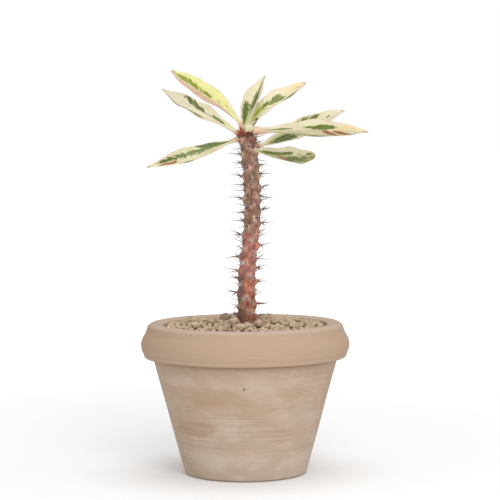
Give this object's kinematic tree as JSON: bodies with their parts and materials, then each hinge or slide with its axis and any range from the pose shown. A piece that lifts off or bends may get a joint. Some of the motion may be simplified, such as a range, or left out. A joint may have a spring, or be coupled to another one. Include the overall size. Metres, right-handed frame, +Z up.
{
  "type": "potted euphorbia",
  "caption": "Spiny upright euphorbia stem with a crown of narrow cream and green leaves, standing in a gravel-topped round clay pot with a rolled rim; rests on its flat foot.",
  "frame": {"origin": "Middle of the pot's flat foot, on the surface it stands on.", "axes": "+Z up the pot and the stem; +X to the right and -Y to the front, where the stem, rim and leaves are seen as in the source view."},
  "size_m": [0.1516, 0.14, 0.271],
  "materials": {
    "pot": "matte fired clay with pale mineral bloom",
    "soil": "dark potting soil, dry on top",
    "gravel_bed": "packed pale gritty gravel, matte",
    "stem": "brown to red succulent bark, slightly waxy",
    "growing_tip": "pale green soft growing tip",
    "leaf_1": "cream and green variegated leaf, satin",
    "leaf_2": "cream and green variegated leaf, satin",
    "leaf_3": "cream and green variegated leaf, satin",
    "leaf_4": "cream and green variegated leaf, satin",
    "leaf_5": "cream and green variegated leaf, satin",
    "leaf_6": "cream and green variegated leaf, satin",
    "leaf_7": "cream and green variegated leaf, satin",
    "leaf_8": "cream and green variegated leaf, satin",
    "stone_01": "rough pale pumice-like stone, matte",
    "stone_02": "rough pale pumice-like stone, matte",
    "stone_03": "rough pale pumice-like stone, matte",
    "stone_04": "rough pale pumice-like stone, matte",
    "stone_05": "rough pale pumice-like stone, matte",
    "stone_06": "rough pale pumice-like stone, matte",
    "stone_07": "rough pale pumice-like stone, matte",
    "stone_08": "rough pale pumice-like stone, matte",
    "stone_09": "rough pale pumice-like stone, matte",
    "stone_10": "rough pale pumice-like stone, matte",
    "stone_11": "rough pale pumice-like stone, matte",
    "stone_12": "rough pale pumice-like stone, matte"
  },
  "bodies": {
    "root": {"pot": "pot", "soil": "soil", "gravel_bed": "gravel_bed", "stem": "stem", "growing_tip": "growing_tip", "leaf_1": "leaf_1", "leaf_2": "leaf_2", "leaf_3": "leaf_3", "leaf_4": "leaf_4", "leaf_5": "leaf_5", "leaf_6": "leaf_6", "leaf_7": "leaf_7", "leaf_8": "leaf_8", "stone_01": "stone_01", "stone_02": "stone_02", "stone_03": "stone_03", "stone_04": "stone_04", "stone_05": "stone_05", "stone_06": "stone_06", "stone_07": "stone_07", "stone_08": "stone_08", "stone_09": "stone_09", "stone_10": "stone_10", "stone_11": "stone_11", "stone_12": "stone_12"}
  },
  "joints": []
}
